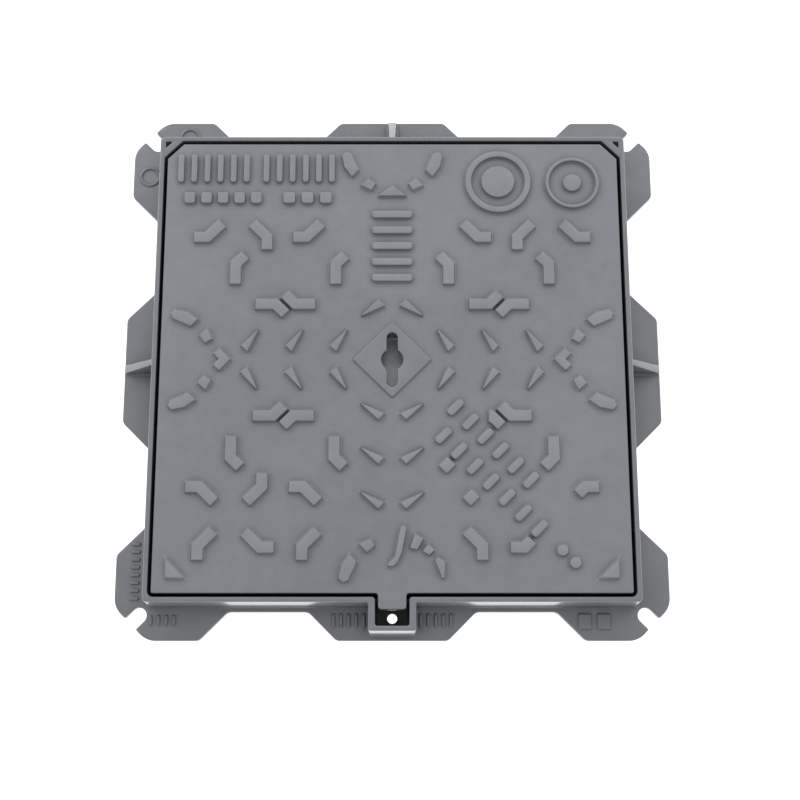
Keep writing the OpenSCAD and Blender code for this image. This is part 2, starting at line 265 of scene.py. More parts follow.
def piece(name, body, material, surface, smooth=40):
    """A finished piece at the origin that rides on a CAD body."""
    obj = bpy.data.objects.new(name, surface.mesh(name, smooth))
    obj.data.materials.append(material)
    bpy.context.scene.collection.objects.link(obj)
    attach(obj, body)
    return obj


def shoulder(r, steps=4):
    """Inward shift and drop of a quarter round of radius r, from its foot to its top:
    r * (1 - cos t) and r * (1 - sin t)."""
    a = np.linspace(0, math.pi / 2, steps + 1)
    return [(r * (1 - math.cos(t)), r * (1 - math.sin(t))) for t in a]


def block(s, loop, z0, z1, r0, r1):
    """A closed plate between two heights with quarter rounds along its lower and upper edge."""
    rings = [(grow(loop, -a), z0 + b) for a, b in reversed(shoulder(r0, 2))]
    rings += [(grow(loop, -a), z1 - b) for a, b in shoulder(r1, 3)]
    s.strips(rings)
    s.cap(rings[0][0], z0, up=False)
    s.cap(rings[-1][0], z1)


# Outward shift and height of a raised pad's side, from under the plate to its rounded top.
TREAD_SIDE = [(1.1, -0.6), (1.1, -0.015), (0.75, 0.06), (0.46, 0.24), (0.26, 0.55), (-0.72, 2.5),
              (-0.85, 2.77), (-1.02, 2.94), (-1.25, 3.0)]
SLIM_SIDE = [(a if a > 0 else a * 0.6, b) for a, b in TREAD_SIDE]
PAD_SIDE = [(0.8, -0.6), (0.8, -0.015), (0.45, 0.06), (0.2, 0.3), (-0.5, 2.4), (-0.62, 2.72),
            (-0.8, 2.92), (-1.1, 3.0)]
KEY_SIDE = [(0.8, -0.6), (0.8, -0.015), (0.45, 0.06), (0.2, 0.28), (0.0, 0.7), (-0.2, 1.1),
            (-0.5, 1.38), (-1.0, RHOMBUS_UP)]
MARK_SIDE = [(0.5, -0.4), (0.5, -0.01), (0.2, 0.1), (-0.1, 0.7), (-0.35, 1.05), (-0.8, 1.2)]


def crisp(corners, r):
    """An outline that moves outwards by a distance while its corners keep their radius r."""
    return lambda by: softened(grow(corners, by), r, 2)


def raised(s, outline, side, z, hole=None):
    """A drafted, filleted pad on the surface at height z: the side's steps are shifts of the
    outline, and the same steps mirrored go down its hole."""
    rings = [(outline(a) if callable(outline) else grow(outline, a), z + b) for a, b in side]
    s.strips(rings)
    down = []
    if hole is not None:
        down = [(grow(hole, -a), z + b) for a, b in reversed(side)]
        s.strips(down)
    s.cap(rings[-1][0], rings[-1][1], holes=[ring for ring, _ in down[:1]])
    s.cap(rings[0][0], rings[0][1], up=False, holes=[ring for ring, _ in down[-1:]])


# ---- outlines of the treads and pads --------------------------------------------------

SHORT, LONG = 13.0, 20.0                   # arms of a bent tread
PAIR_ARM, PAIR_BENT = 19.0, 14.0           # arms of two treads back to back
PAIR_GAP = 1.4                             # joint between them
DART = np.array([[0, 0], [-10.5, -24], [-17.5, -17.5]])
CHEVRON = [np.array([[-201, 38], [-184, 30.5], [-176.5, 38], [-187, 45.5], [-199, 48],
                     [-203, 43.5]]),
           np.array([[-177, 22.5], [-170.5, 14.5], [-163, 19], [-168.5, 30]])]
CHEVRON_TIP = np.array([[-163.5, 5.5], [-157, 11.5], [-146, 0], [-157, -11.5], [-163.5, -5.5],
                        [-158.5, 0]])
CORNER_WEDGE = np.array([[-199.5, -199], [-181, -199], [-199.5, -180]])
REAR_DART = np.array([[-14.5, 158], [14.5, 158], [0, 169.5]])
SLIM_TREADS = [np.array(c) for c in (
    [[7, -153], [10.5, -151.5], [13, -155], [9, -176], [5.5, -184], [1.5, -188.5],
     [-4.5, -188.5], [-4, -186], [2, -179.5]],
    [[20, -159], [28, -164], [22.5, -174], [15, -172.5]],
    [[32, -168], [37.5, -174.5], [32.5, -179], [26, -174.5]],
    [[37, -182], [40, -180], [47, -184], [46, -199], [43.5, -199]])]


def elbow(arm, bent):
    """A bar bent by 45 degrees at the origin, one arm towards -X, the other up and to +X. Its
    inner and outer corner lie half its width * tan(22.5 degrees) off the bend."""
    h = TREAD_W / 2
    m = h * math.tan(math.radians(22.5))
    c, d = bent * math.sqrt(0.5), h * math.sqrt(0.5)
    return np.array([[-arm, -h], [m, -h], [c + d, c - d], [c - d, c + d], [-m, h], [-arm, h]])


def elbow_at(x, y, turn, flip, arm, bent):
    """A bent tread, mirrored or not, turned, and moved to (x, y)."""
    e = elbow(arm, bent)
    return turned(flipped(e, x=-1) if flip else e, turn) + [x, y]


def back_to_back(x, y, second=PAIR_ARM):
    """Two bent treads that face away from each other across a narrow slanting joint."""
    shift = TREAD_W / 2 * (1 + math.tan(math.radians(22.5))) + PAIR_GAP / math.sqrt(2)
    a = flipped(elbow(PAIR_ARM, PAIR_BENT), y=-1) - [shift, 0]
    b = turned(flipped(elbow(second, PAIR_BENT), y=-1) - [shift, 0], 180)
    return [a + [x, y], b + [x, y]]


def bar(x, y, w, l, turn=0.0):
    """A rectangle w by l about (x, y), turned by degrees."""
    c = np.array([[w, l], [-w, l], [-w, -l], [w, -l]]) / 2
    return turned(c, turn) + [x, y]


def row(x, y, dx, dy, count, w, l, turn=0.0):
    """Rectangles at even steps of (dx, dy) from (x, y)."""
    return [bar(x + dx * i, y + dy * i, w, l, turn) for i in range(count)]


def bent_treads():
    """The bent treads: a group at the rear left, mirrored to the rear right and the front left,
    more at the front left, and a group at the front right that leaves room for the pads."""
    upper = [elbow_at(-171.5, 117.5, 0, False, SHORT, LONG),
             elbow_at(-116, 117.5, 90, False, SHORT, LONG),
             elbow_at(-79.5, 117.5, 0, False, SHORT, LONG),
             elbow_at(-144.5, 91, 270, True, LONG, SHORT),
             elbow_at(-52, 91, 270, True, LONG, SHORT), *back_to_back(-98, 52.5)]
    lower = [elbow_at(-171.5, -170.5, 270, True, SHORT, LONG),
             elbow_at(-79.5, -170.5, 270, True, SHORT, LONG),
             elbow_at(-116.5, -171.5, 0, True, SHORT, LONG)]
    right = [elbow_at(171.5, -117.5, 180, False, SHORT, LONG / 2),
             elbow_at(116.5, -171.5, 0, False, SHORT, LONG / 2),
             elbow_at(144.5, -91, 90, True, LONG, SHORT),
             elbow_at(79.5, -170.5, 90, False, SHORT, LONG),
             *[turned(e, 180) for e in back_to_back(-98, 52.5, TREAD_W / 4)],
             *row(49, -98, 21, -29, 2, TREAD_W * 1.1, TREAD_W, 45)]
    mirrored = [flipped(e, x=-1) for e in upper] + [flipped(e, y=-1) for e in upper]
    return upper + mirrored + lower + right


def sharp_treads():
    """The darts round the key slot, the chevrons at the four sides and the wedges."""
    darts = [DART + [-40 - 40.5 * i, 30] for i in range(3)]
    both = (1, -1)
    fine = [flipped(d, x, y) for d in darts for x in both for y in both]
    fine += [flipped(swapped(d), x) for d in darts for x in both]
    fine += [flipped(swapped(darts[0]), x, -1) for x in both]
    fine += [flipped(c, x, y) for c in CHEVRON for x in both for y in both]
    fine += [flipped(swapped(c), x, -1) for c in CHEVRON for x in both]
    fine += [flipped(swapped(c), -1) for c in CHEVRON]
    fine += [flipped(c, x) for c in (CHEVRON_TIP, CORNER_WEDGE) for x in both]
    return fine + [REAR_DART]


def pad_loops():
    """Plain pads in the places where a foundry casts its marks."""
    pads = row(-198, 186, 12.3, 0, 6, 6.5, 29) + row(-118, 186, 12.3, 0, 6, 6.5, 29)
    pads += row(-189, 156.5, 15.5, 0, 5, 11, 12) + row(-96, 156.5, 17, 0, 3, 12, 12)
    pads += row(0, 78, 0, 15.5, 5, 38, 8)
    pads += row(57, -45, 13.3, -13.3, 6, 18, 8, 45) + row(46, -71, 14, -14, 7, 18, 8, 45)
    return pads


# ---- the lid --------------------------------------------------------------------------

def rear_corners(e, r):
    """The ends of the cuts at the two rear corners of the lid's outline grown by e. The cut
    itself moves out by e, so its length along a side becomes CUT + (2 - sqrt 2) * e."""
    h = LID + e
    leg = CUT + (2 - math.sqrt(2)) * e
    return [(h, h - leg, r), (h - leg, h, r), (leg - h, h, r), (-h, h - leg, r)]


def lid_loop(e, tab=0.0):
    """The lid's outline grown by e, with its tab reaching out by tab, or with as many points
    and no tab."""
    h = LID + e
    r = 3.0 if e < -3 else max(2 + e, 0.4)
    k = TAB_X + e
    root, tip = (2.6, max(3 + e, 0.5)) if tab else (0.0, 0.0)
    y = -(h + tab)
    return rounded([*rear_corners(e, 1.5), (-h, -h, r), (-k, -h, root), (-k, y, tip), (k, y, tip),
                    (k, -h, root), (h, -h, r)])


def key_loop(by=0.0):
    """The key slot: a slot with round ends and a round middle, grown by a distance."""
    r, m = KEY_R + by, KEY_W + by
    t = math.acos(m / r)
    half = np.concatenate([arc(0, 0, r, -t, t, 12), arc(0, KEY_HALF, m, 0, math.pi, 14)])
    return np.concatenate([half, -half])


def lid_shell(s):
    """The lid's plate, skirt and tab in one skin, from the underside down the skirt, round its
    foot, up the outside and over the rounded top edge."""
    rings = [(lid_loop(-SKIRT_T - a), PLATE_Z - b) for a, b in reversed(shoulder(2.0, 4))]
    rings += [(lid_loop(-SKIRT_T + a), SEAT_Z + b) for a, b in shoulder(0.8, 3)]
    rings += [(lid_loop(-a), SEAT_Z + b) for a, b in reversed(shoulder(0.8, 3))]
    rings += [(lid_loop(0), RIM_Z - TAB_DEPTH), (lid_loop(0, TAB_OUT), RIM_Z - TAB_DEPTH)]
    rings += [(lid_loop(-a, TAB_OUT), RIM_Z - b) for a, b in shoulder(1.1, 5)]
    s.strips(rings)
    hole = key_loop(0.3)
    s.strips([(hole, RIM_Z), (hole, PLATE_Z)])
    s.cap(rings[-1][0], RIM_Z, holes=[hole])
    s.cap(rings[0][0], PLATE_Z, up=False, holes=[hole])


def key_pad(s):
    """The raised rhombus round the key slot, with the slot's rounded mouth."""
    corners = np.array([[RHOMBUS, 0], [0, RHOMBUS], [-RHOMBUS, 0], [0, -RHOMBUS]])
    loop = softened(corners, 1.5, 4)
    rings = [(grow(loop, a), RIM_Z + b) for a, b in KEY_SIDE]
    s.strips(rings)
    top = RIM_Z + RHOMBUS_UP
    mouth = [(key_loop(a), top - b) for a, b in [(0.9, 0), (0.45, 0.12), (0.12, 0.45), (0, 0.9),
                                                 (0, 2.1)]]
    s.strips(mouth)
    s.cap(rings[-1][0], top, holes=[mouth[0][0]])
    s.cap(rings[0][0], rings[0][1], up=False, holes=[mouth[-1][0]])


def under_rib(s, x, turn):
    """A rib under the plate, rounded along its foot and filleted to the plate."""
    loop = bar(x, 0, RIB_W, 2 * LID - 10)
    rings = [(turned(grow(loop, d), turn), z) for d, z in
             [(-1.2, RIB_Z), (-0.6, RIB_Z + 0.15), (-0.2, RIB_Z + 0.6), (0, RIB_Z + 1.2),
              (0.3, PLATE_Z - 2), (0.8, PLATE_Z - 0.7), (2.0, PLATE_Z + 0.05),
              (2.0, PLATE_Z + 0.5)]]
    s.strips(rings)
    s.cap(rings[0][0], rings[0][1], up=False)
    s.cap(rings[-1][0], rings[-1][1])


def sleeve(s, outer, inner, z0, z1, r):
    """A closed ring between two loops with as many points, rounded along its lower edges."""
    rings = [(inner, z1)] + [(grow(inner, a), z0 + b) for a, b in shoulder(r, 3)]
    rings += [(grow(outer, -a), z0 + b) for a, b in reversed(shoulder(r, 3))]
    s.strips(rings + [(outer, z1), (inner, z1)])


# ---- the frame ------------------------------------------------------------------------

def on_diagonal(along, across):
    """The point at a distance along the diagonal from the middle, and at one across it."""
    d = math.sqrt(0.5)
    return (along - across) * d, (along + across) * d


def flange_loop():
    """The base with its middle and corner lobes and the open anchor slots: one quarter's
    corners, turned four times. A slot's round end has its middle WALL_R + ANCHOR_WEB + ANCHOR
    beyond the middle of the wall's corner arc."""
    h, w = BASE, EDGE
    out = h - w
    slot = (FOOT - WALL_R) * math.sqrt(2) + WALL_R + ANCHOR_WEB + ANCHOR
    edge = (2 * h - CORNER_CUT) * math.sqrt(0.5)
    near, far = MID_LOBE + out, h - CORNER_LOBE - out
    side = [(h, MID_LOBE, 8), (w, near, 8), (w, far, 8), (h, h - CORNER_LOBE, 8)]
    mouth = [(h, h - CORNER_CUT, 20), (*on_diagonal(edge, -ANCHOR), 1.6),
             (*on_diagonal(slot - ANCHOR, -ANCHOR), ANCHOR - 0.01),
             (*on_diagonal(slot - ANCHOR, ANCHOR), ANCHOR - 0.01),
             (*on_diagonal(edge, ANCHOR), 1.6), (h - CORNER_CUT, h, 20)]
    quarter = side + mouth + [(y, x, r) for x, y, r in reversed(side)]
    corners = []
    for c, n in [(1, 0), (0, 1), (-1, 0), (0, -1)]:
        corners += [(x * c - y * n, x * n + y * c, r) for x, y, r in quarter]
    return rounded(corners, 8)


def recess_loop(e):
    """The hollow for the lid, grown by e, with the pry pocket's notch."""
    h, k, y = RECESS + e, POCKET_X + e, -(POCKET_Y + e)
    return rounded([*rear_corners(GAP + e, 1), (-h, -h, 5 + e), (-k, -h, 3 - e), (-k, y, 2 + e),
                    (k, y, 2 + e), (k, -h, 3 - e), (h, -h, 5 + e)])


def lip_loop(e):
    """The lid's outline grown by e, without its tab, as the seal and its channel follow it."""
    h = LID + e
    return rounded([*rear_corners(e, 1), (-h, -h, 3), (h, -h, 3)])


def wall_loop(z, e=0.0):
    """The outside of the wall at height z, leaning in by its draft up to the rim, grown by e."""
    h = FOOT - LEAN * z / RIM_Z + e
    f = h + POCKET_OUT
    k = POCKET_WALL_X + e
    r, root, tip = WALL_R + e, max(1.6 - e, 0.3), max(1.8 + e, 0.4)
    return rounded([(h, h, r), (-h, h, r), (-h, -h, r), (-k, -h, root), (-k, -f, tip),
                    (k, -f, tip), (k, -h, root), (h, -h, r)])


def frame_flange(s):
    """The flange plate with the lip of the seal channel: up the opening, over the lip, down to
    the flange's top, and round its outer edge back to the underside."""
    outline = flange_loop()
    lip = [(lip_loop(LIP_IN + 0.5), 0), (lip_loop(LIP_IN), 0.5)]
    lip += [(lip_loop(LIP_IN + a), LIP_Z - b) for a, b in shoulder(0.8, 3)]
    lip += [(lip_loop(LIP_OUT - a), LIP_Z - b) for a, b in reversed(shoulder(0.8, 3))]
    lip += [(lip_loop(LIP_OUT), FLANGE_Z + 1.2), (lip_loop(LIP_OUT + 0.3), FLANGE_Z + 0.5),
            (lip_loop(LIP_OUT + 1), FLANGE_Z)]
    # the lip turns its face to the opening while it rises, so its strips run the other way round
    s.strips(lip[::-1])
    edge = [(grow(outline, -a), b) for a, b in [(0.5, 0), (0.15, 0.15), (0, 0.5)]]
    edge += [(grow(outline, -a), FLANGE_Z - b) for a, b in shoulder(1.4, 4)]
    s.strips(edge)
    drain = circle(0, DRAIN_Y, DRAIN_R)
    mouth = grow(drain, 0.6)
    s.strips([(mouth, FLANGE_Z), (grow(drain, 0.15), FLANGE_Z - 0.15), (drain, FLANGE_Z - 0.6),
              (drain, 0)])
    s.cap(edge[-1][0], FLANGE_Z, holes=[lip[-1][0], mouth])
    s.cap(edge[0][0], 0, up=False, holes=[lip[0][0], drain])


def rim_recess(s, x):
    """The three-cornered recess in a rear corner of the rim, on the side x = 1 or -1. Gives its
    mouth's loop."""
    corner, leg, depth = RIM - 5, 7.0, 4.0
    tri = wound(np.array([[x * corner, corner], [x * (corner - leg), corner],
                          [x * corner, corner - leg]]))
    sides = [(softened(grow(tri, a), 0.7, 4), RIM_Z - b) for a, b in
             [(0.5, 0), (0.15, 0.15), (-0.1, 0.5), (-0.5, 2.6), (-0.9, 3.6), (-1.2, depth)]]
    s.strips(sides)
    s.cap(sides[-1][0], RIM_Z - depth)
    return sides[0][0]


def frame_wall(s):
    """The leaning wall with its rounded rim and the hollow inside it, notched at the front for
    the pry pocket, with the recesses in the rear corners of the rim."""
    foot = FLANGE_Z - 0.4
    outer = [(wall_loop(foot, WALL_FILLET), foot),
             (wall_loop(FLANGE_Z, WALL_FILLET), FLANGE_Z - 0.02)]
    for a in np.linspace(0.15, math.pi / 2, 6):
        z = FLANGE_Z + WALL_FILLET * (1 - math.cos(a))
        outer.append((wall_loop(z, WALL_FILLET * (1 - math.sin(a))), z))
    outer += [(wall_loop(RIM_Z - b, -a), RIM_Z - b) for a, b in shoulder(1.2, 5)]
    inner = [(recess_loop(a), RIM_Z - b) for a, b in reversed(shoulder(1.0, 4))]
    inner += [(recess_loop(0), FLANGE_Z + 1.2), (recess_loop(-0.35), FLANGE_Z + 0.35),
              (recess_loop(-1.2), FLANGE_Z - 0.02), (recess_loop(-1.2), foot)]
    s.strips(outer)
    s.strips(inner)
    recesses = [rim_recess(s, x) for x in (1, -1)]
    s.cap(outer[-1][0], RIM_Z, holes=[inner[0][0], *recesses])
    s.cap(outer[0][0], foot, up=False, holes=[inner[-1][0]])


def pocket_dam(s):
    """The low bar across the mouth of the pry pocket."""
    side, thick = POCKET_X + 0.6, 5
    dam = np.array([[-side, -RECESS - thick], [side, -RECESS - thick], [side, -RECESS],
                    [-side, -RECESS]])
    block(s, softened(dam, 1.1, 3), FLANGE_Z - 0.3, RIM_Z - 14.5, 0.1, 0.9)


def gusset(s, turn):
    """A stiffening plate on a middle lobe, as sections carried from the wall out to the lobe's
    edge. A section is a web with a rounded ridge and a quarter fillet on each side of its foot.
    The ridge falls in a straight line, and the web grows from 5.8 to 7.4 thick."""
    far, near = BASE - 0.4, RIM + 0.9
    high, low = RIM_Z - 7, FLANGE_Z + 3.2
    foot, ridge = 2.3, 1.1
    rows = [(RECESS + 1.5, 0), (near, 0), (near + 3, 0), (far - 1.6, 0), (far - 0.5, 0.25),
            (far - 0.12, 0.6), (far, 1.1)]
    a, b = math.cos(math.radians(turn)), math.sin(math.radians(turn))
    q = np.linspace(0, math.pi / 2, 5)
    starts = []
    for x, shrink in rows:
        share = np.clip((x - near) / (far - near), 0, 1)
        top = high + share * (low - high) - shrink
        t = 2.9 + 0.8 * share - shrink
        y = np.concatenate([[t + foot], t + foot * (1 - np.sin(q)), t - ridge * (1 - np.cos(q))])
        z = np.concatenate([[FLANGE_Z - 0.4], FLANGE_Z + foot * (1 - np.cos(q)) - 0.02,
                            top - ridge * (1 - np.sin(q))])
        y, z = np.concatenate([y, -y[::-1]]), np.concatenate([z, z[::-1]])
        starts.append(s.put(np.stack([x * a - y * b, x * b + y * a, z], 1)))
    s.join(starts, len(y))
    i = np.arange(len(y))
    s.faces.append((starts[0] + i[::-1])[None, :])
    s.faces.append((starts[-1] + i)[None, :])


def lobe_marks(s):
    """Plain low bars and rings on the lobes, where a foundry casts its marks."""
    near, mid, beside = EDGE + 7.5, EDGE + 9.5, POCKET_WALL_X + 4.5
    bars = row(beside, -near, 6.8, 0, 5, 3, 12) + row(-beside, -near, -6.8, 0, 5, 3, 12)
    bars += row(EDGE - 52, -near - 1, 17, 0, 2, 12, 14) + row(8 - EDGE, -near, 7, 0, 4, 3, 9)
    bars += row(-near, 61 - EDGE, 0, -7, 8, 8, 3)
    bars += row(-48, near, 8, 0, 4, 3, 9) + row(9, near, 8, 0, 7, 3, 9)
    for one in bars:
        raised(s, softened(one, 1.2, 4), MARK_SIDE, FLANGE_Z)
    for x, y in ((-mid, EDGE - 31), (28 - EDGE, mid)):
        raised(s, circle(x, y, 10, 40), MARK_SIDE, FLANGE_Z, hole=circle(x, y, 7.5, 40))


# ---- finishes -------------------------------------------------------------------------

class Level:
    """A shader value: Python's operators on it add the Math nodes."""

    def __init__(self, nodes, socket):
        self.nodes, self.socket = nodes, socket

    def __add__(self, other):
        return self.nodes.maths("ADD", self, other)

    def __radd__(self, other):
        return self.nodes.maths("ADD", other, self)

    def __mul__(self, other):
        return self.nodes.maths("MULTIPLY", self, other)

    def __rmul__(self, other):
        return self.nodes.maths("MULTIPLY", other, self)

    def __pow__(self, other):
        return self.nodes.maths("POWER", self, other)


class Nodes:
    """A node tree whose nodes all come from one method."""

    def __init__(self, tree):
        self.tree = tree

    def node(self, kind, settings=None, inputs=()):
        """A node with its settings, then its inputs by place or by name: values or links."""
        n = self.tree.nodes.new(kind)
        for key, value in (settings or {}).items():
            if key == "stops":
                elements = n.color_ramp.elements
                while len(elements) < len(value):
                    elements.new(0.5)
                for stop, (at, level) in zip(elements, value):
                    stop.position = at
                    stop.color = (level, level, level, 1)
            else:
                setattr(n, key, value)
        pairs = inputs.items() if isinstance(inputs, dict) else enumerate(inputs)
        for key, value in pairs:
            self.feed(n.inputs[key], value)
        return [Level(self, out) for out in n.outputs]

    def feed(self, socket, value):
        """Links a shader value to the socket, or sets a plain one on it."""
        if isinstance(value, Level):
            self.tree.links.new(value.socket, socket)
        else:
            socket.default_value = value

    def maths(self, operation, a, b):
        return self.node("ShaderNodeMath", {"operation": operation}, [a, b])[0]

    def vector_maths(self, operation, *inputs):
        return self.node("ShaderNodeVectorMath", {"operation": operation}, inputs)[0]

    def map_range(self, level, low, high, at_low, at_high):
        return self.node("ShaderNodeMapRange", {}, [level, low, high, at_low, at_high])[0]

    def ramp(self, level, stops):
        return self.node("ShaderNodeValToRGB", {"stops": stops}, [level])[0]


class Finish(Nodes):
    """One procedural material on Object coordinates."""

    SOCKETS = {"colour": "Base Color", "rough": "Roughness", "metal": "Metallic",
               "normal": "Normal", "coat": "Coat Weight", "coat_rough": "Coat Roughness",
               "coat_ior": "Coat IOR", "glow": "Emission Color", "glow_level": "Emission Strength"}

    def __init__(self, name):
        self.material = bpy.data.materials.new(name)
        self.material.use_nodes = True
        super().__init__(self.material.node_tree)
        self.shader = self.tree.nodes["Principled BSDF"]

    def place(self):
        """Object coordinates."""
        return self.node("ShaderNodeTexCoord")[3]

    def noise(self, where, scale, detail=2.0, rough=0.5):
        return self.node("ShaderNodeTexNoise", {}, {"Vector": where, "Scale": scale,
                                                    "Detail": detail, "Roughness": rough})[0]

    def shelter(self, reach):
        """1 in the open, falling to 0 where other iron stands within reach."""
        return self.node("ShaderNodeAmbientOcclusion", {"samples": 6}, {"Distance": reach})[1]

    def outside(self, at, middle, half):
        """1 outside a box, falling to 0 inside it over two millimetres: the largest of
        |place - middle| - half."""
        away = self.vector_maths("ABSOLUTE", self.vector_maths("SUBTRACT", at, middle))
        x, y, z = self.node("ShaderNodeSeparateXYZ", {}, [self.vector_maths("SUBTRACT", away, half)])
        far = self.maths("MAXIMUM", self.maths("MAXIMUM", x, y), z)
        return self.map_range(far, -0.001, 0.001, 0.0, 1.0)

    def mix(self, share, a, b):
        return self.node("ShaderNodeMix", {"data_type": "RGBA"}, {0: share, 6: a, 7: b})[2]

    def bump(self, height, distance, strength):
        return self.node("ShaderNodeBump", {}, {"Strength": strength, "Distance": distance,
                                                "Height": height})[0]

    def shade(self, **inputs):
        """Feeds the shader's sockets, and gives the material."""
        for key, value in inputs.items():
            self.feed(self.shader.inputs[self.SOCKETS[key]], value)
        return self.material


# The colour of painted shade, mixed into the iron's corners and hollows.
PAINTED_SHADE = (0.03, 0.032, 0.037, 1)
# A darker painted shade for the inside of the pry pocket.
POCKET_SHADE = (0.012, 0.012, 0.014, 1)


def cast_finish(name, dark, light, gloss, reach=0.007, shade_box=None):
    """Coated cast iron: a faint cloudy tone, a sand-cast grain and a few wider undulations, with
    painted shade in its corners and hollows: a darker colour and less gloss. The last argument, if
    given, is a box where deeper shade is painted, darker and without gloss: its middle and half
    size, in metres."""
    f = Finish(name)
    at = f.place()
    cloud = f.noise(at, 9.0, 3.0, 0.6)
    mottle = f.noise(at, 70.0, 4.0, 0.65)
    sand = f.noise(at, 620.0, 3.0, 0.7)
    swell = f.noise(at, 45.0)
    tone = f.ramp(cloud * 0.45 + mottle * 0.4 + sand * 0.15, [(0.36, 0.0), (0.64, 1.0)])
    # Painted shade: ambient occlusion over a short and a long reach darkens the colour in corners
    # and hollows.
    corner = f.shelter(reach) ** 1.5
    hollow = f.shelter(0.02)
    colour = f.mix(0.22 + corner * 0.78, PAINTED_SHADE, f.mix(tone, dark, light))
    colour = f.mix(0.45 + hollow * 0.55, PAINTED_SHADE, colour)
    # Painted shade on the coat: its gloss falls away in corners and hollows.
    shaded_sheen = (0.15 + corner * 0.85) * (0.25 + hollow * 0.75) * gloss
    # Painted shade in the pry pocket: inside the box the colour goes nearly black and the gloss
    # goes.
    if shade_box:
        unshaded = 0.1 + f.outside(at, *shade_box) * 0.9
        colour = f.mix(unshaded, POCKET_SHADE, colour)
        shaded_sheen = shaded_sheen * unshaded
    grain = f.bump(sand * 0.75 + swell * 1.2, 0.00012, 0.5)
    return f.shade(colour=colour, rough=0.41 + mottle * 0.1, normal=grain, metal=0.2,
                   coat=shaded_sheen, coat_rough=0.17, coat_ior=1.55)


def rubber_finish():
    """Moulded black rubber, dusty in patches."""
    f = Finish("seal rubber")
    at = f.place()
    dust = f.ramp(f.noise(at, 60.0, 4.0, 0.6), [(0.45, 0.0), (0.7, 1.0)])
    colour = f.mix(dust, (0.018, 0.018, 0.019, 1), (0.045, 0.044, 0.042, 1))
    grain = f.bump(f.noise(at, 900.0), 0.0001, 0.5)
    return f.shade(colour=colour, rough=0.62 + dust * 0.2, normal=grain)


def pressed_finish():
    """Pressed zinc-plated steel with a cloudy tone and a fine grain."""
    f = Finish("pressed zinc-plated steel")
    at = f.place()
    tone = f.noise(at, 40.0, 3.0, 0.6)
    patches = f.ramp(tone, [(0.4, 0.0), (0.65, 1.0)])
    colour = f.mix(patches, (0.42, 0.43, 0.45, 1), (0.55, 0.56, 0.58, 1))
    grain = f.bump(f.noise(at, 420.0), 0.00008, 0.4)
    return f.shade(colour=colour, metal=0.85, rough=0.38 + tone * 0.2, normal=grain)


LID_IRON = cast_finish("coated iron of the lid", (0.211, 0.224, 0.249, 1),
                       (0.251, 0.267, 0.294, 1), 0.4)
# A lighter, glossier copy of the lid's iron: painted light on the treads and pads.
LIGHTER_TREAD_IRON = cast_finish("coated iron of the treads, painted lighter", (0.240, 0.256, 0.282, 1),
                         (0.287, 0.304, 0.333, 1), 0.5)
# The frame's painted shade reaches only 4 mm, and a box paints deeper shade into the pry pocket.
FRAME_IRON = cast_finish("coated iron of the frame", (0.170, 0.181, 0.199, 1),
                         (0.206, 0.219, 0.239, 1), 1.0, reach=0.004,
                         shade_box=((0, -0.2275, 0.02), (0.0152, 0.0122, 0.0175)))
RUBBER = rubber_finish()
CUP_STEEL = pressed_finish()


# ---- pieces ---------------------------------------------------------------------------

def make_lid():
    """The lid's casting, and its treads and pads as pieces of their own."""
    body = Surface()
    lid_shell(body)
    key_pad(body)
    for turn in (0, 90):
        for x in (-RIB_X, RIB_X):
            under_rib(body, x, turn)
    sleeve(body, circle(0, 0, BOSS_R + BOSS_T, 72), circle(0, 0, BOSS_R, 72),
           PLATE_Z - BOSS_DEPTH, PLATE_Z + 0.3, 0.9)
    shell = piece("lid_casting", "lid_body", LID_IRON, body)
    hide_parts("lid")
    treads = Surface()
    for loop in bent_treads():
        raised(treads, softened(wound(loop), 1.3), TREAD_SIDE, RIM_Z)
    for loop in sharp_treads():
        raised(treads, crisp(wound(loop), 0.45), TREAD_SIDE, RIM_Z)
    for loop in SLIM_TREADS:
        raised(treads, crisp(wound(loop), 0.35), SLIM_SIDE, RIM_Z)
    piece("lid_treads", "lid_body", LIGHTER_TREAD_IRON, treads, 50)
    pads = Surface()
    for loop in pad_loops():
        raised(pads, softened(loop, 3.0, 5), PAD_SIDE, RIM_Z)
    for i in range(2):
        raised(pads, circle(150 + 11 * i, -174 - 11 * i, 5.5, 32), PAD_SIDE, RIM_Z)
    for x, y, outer, inner, disc in ((99, 172.5, 31, 24.5, 16), (168.5, 171.5, 25.5, 21.5, 9)):
        raised(pads, circle(x, y, outer, 72), PAD_SIDE, RIM_Z, hole=circle(x, y, inner, 72))
        raised(pads, circle(x, y, disc, 48), PAD_SIDE, RIM_Z)
    piece("lid_pads", "lid_body", LIGHTER_TREAD_IRON, pads, 50)


def make_frame():
    """The frame's casting, with gussets on the right, rear and left middle lobes."""
    s = Surface()
    frame_flange(s)
    frame_wall(s)
    pocket_dam(s)
    for turn in (0, 90, 180):
        gusset(s, turn)
    lobe_marks(s)
    casting = piece("frame_casting", "frame_body", FRAME_IRON, s, 35)
    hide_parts("frame")


def make_seal():
    """A rubber ring with three beads along its top, |sin 3 pi u| ** 0.6 high across its width,
    and grooves between them."""
    groove, foot = 0.9, FLANGE_Z + 0.02
    across = np.linspace(0, 1, 25)
    bead = np.abs(np.sin(3 * math.pi * across)) ** 0.6
    rings = [(lip_loop(SEAL_OUT + (SEAL_IN - SEAL_OUT) * u), SEAT_Z - groove * (1 - b))
             for u, b in zip(across, bead)]
    s = Surface()
    s.strips(rings + [(lip_loop(SEAL_IN), foot), (lip_loop(SEAL_OUT), foot), rings[0]])
    seal = piece("seal_ring", "frame_body", RUBBER, s, 50)
    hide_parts("seal")


